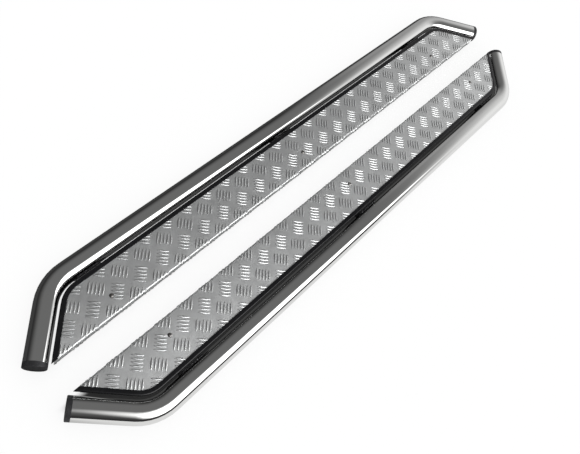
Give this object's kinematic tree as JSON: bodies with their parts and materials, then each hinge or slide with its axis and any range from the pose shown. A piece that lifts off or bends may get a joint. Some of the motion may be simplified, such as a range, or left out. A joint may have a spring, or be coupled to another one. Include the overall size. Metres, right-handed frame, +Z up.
{
  "type": "running board",
  "caption": "Pair of vehicle running boards: bent polished tube, five-bar tread plate, black rubber edge trim, end caps and slotted brackets underneath.",
  "frame": {"origin": "middle of the pair, on the floor that the tubes and bracket feet rest on", "axes": "+X along the boards towards the vehicle's front, +Y towards the left board, +Z up"},
  "size_m": [1.772, 0.3998, 0.0508],
  "materials": {
    "polished_steel": "mirror-polished stainless steel",
    "cap_plastic": "fine-grained black moulded plastic",
    "tread_aluminium": "bright rolled five-bar tread aluminium",
    "trim_rubber": "smooth black rubber, slight gloss",
    "bracket_paint": "black powder-coated pressed steel",
    "weld_steel": "painted weld bead",
    "screw_steel": "dull stainless button head",
    "washer_steel": "zinc plated",
    "nut_steel": "zinc plated, locking collar"
  },
  "bodies": {
    "root": {"left_tube": "polished_steel", "left_front_cap": "cap_plastic", "left_rear_cap": "cap_plastic", "left_tread_plate": "tread_aluminium", "left_edge_trim": "trim_rubber", "left_front_bracket": "bracket_paint", "left_middle_bracket": "bracket_paint", "left_rear_bracket": "bracket_paint", "left_welds": "weld_steel", "left_tread_screws": "screw_steel", "left_washers": "washer_steel", "left_lock_nuts": "nut_steel", "right_tube": "polished_steel", "right_front_cap": "cap_plastic", "right_rear_cap": "cap_plastic", "right_tread_plate": "tread_aluminium", "right_edge_trim": "trim_rubber", "right_front_bracket": "bracket_paint", "right_middle_bracket": "bracket_paint", "right_rear_bracket": "bracket_paint", "right_welds": "weld_steel", "right_tread_screws": "screw_steel", "right_washers": "washer_steel", "right_lock_nuts": "nut_steel"}
  },
  "joints": []
}
